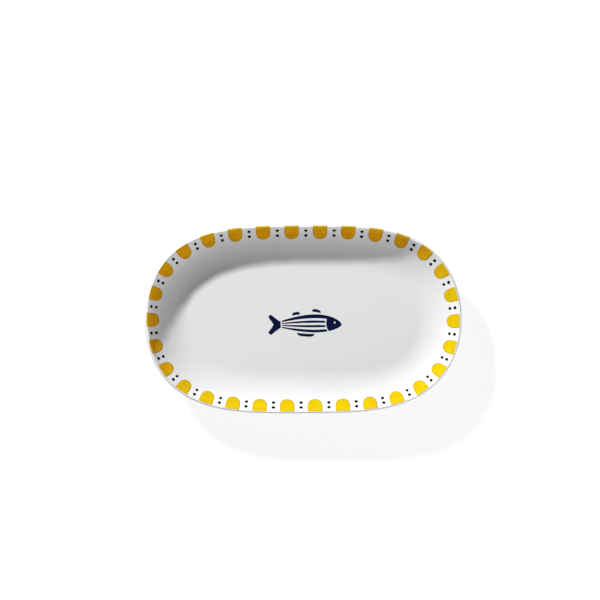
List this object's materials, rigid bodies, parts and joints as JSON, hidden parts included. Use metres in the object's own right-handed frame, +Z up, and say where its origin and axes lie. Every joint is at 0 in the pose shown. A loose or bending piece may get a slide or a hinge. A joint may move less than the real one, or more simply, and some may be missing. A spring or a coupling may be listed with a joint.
{
  "type": "oval serving plate",
  "caption": "Boat-shaped oval serving plate in white glazed porcelain with a coved wall, round lip and foot ring, a yellow enamel rim border and a navy fish on its floor.",
  "frame": {"origin": "middle of the plate on the plane that its foot ring stands on", "axes": "+X along the length, towards the fish's head; +Y across the width; +Z up out of the well"},
  "size_m": [0.2699, 0.161, 0.0232],
  "materials": {
    "white_porcelain": "white porcelain under a clear gloss glaze, bare on the foot ring",
    "yellow_enamel": "fired sun-yellow enamel, faintly streaked, gloss",
    "navy_enamel": "fired navy enamel, gloss"
  },
  "bodies": {
    "root": {"porcelain_body": "white_porcelain", "rim_arch_01": "yellow_enamel", "rim_arch_02": "yellow_enamel", "rim_arch_03": "yellow_enamel", "rim_arch_04": "yellow_enamel", "rim_arch_05": "yellow_enamel", "rim_arch_06": "yellow_enamel", "rim_arch_07": "yellow_enamel", "rim_arch_08": "yellow_enamel", "rim_arch_09": "yellow_enamel", "rim_arch_10": "yellow_enamel", "rim_arch_11": "yellow_enamel", "rim_arch_12": "yellow_enamel", "rim_arch_13": "yellow_enamel", "rim_arch_14": "yellow_enamel", "rim_arch_15": "yellow_enamel", "rim_arch_16": "yellow_enamel", "rim_arch_17": "yellow_enamel", "rim_arch_18": "yellow_enamel", "rim_arch_19": "yellow_enamel", "rim_arch_20": "yellow_enamel", "rim_arch_21": "yellow_enamel", "rim_arch_22": "yellow_enamel", "rim_arch_23": "yellow_enamel", "rim_arch_24": "yellow_enamel", "rim_arch_25": "yellow_enamel", "rim_arch_26": "yellow_enamel", "rim_arch_27": "yellow_enamel", "rim_arch_28": "yellow_enamel", "rim_arch_29": "yellow_enamel", "rim_arch_30": "yellow_enamel", "fish_head": "navy_enamel", "fish_stripe_1": "navy_enamel", "fish_stripe_2": "navy_enamel", "fish_stripe_3": "navy_enamel", "fish_stripe_4": "navy_enamel", "fish_tail": "navy_enamel", "fish_front_dorsal_fin": "navy_enamel", "fish_rear_dorsal_fin": "navy_enamel", "fish_ventral_fin": "navy_enamel"}
  },
  "joints": []
}
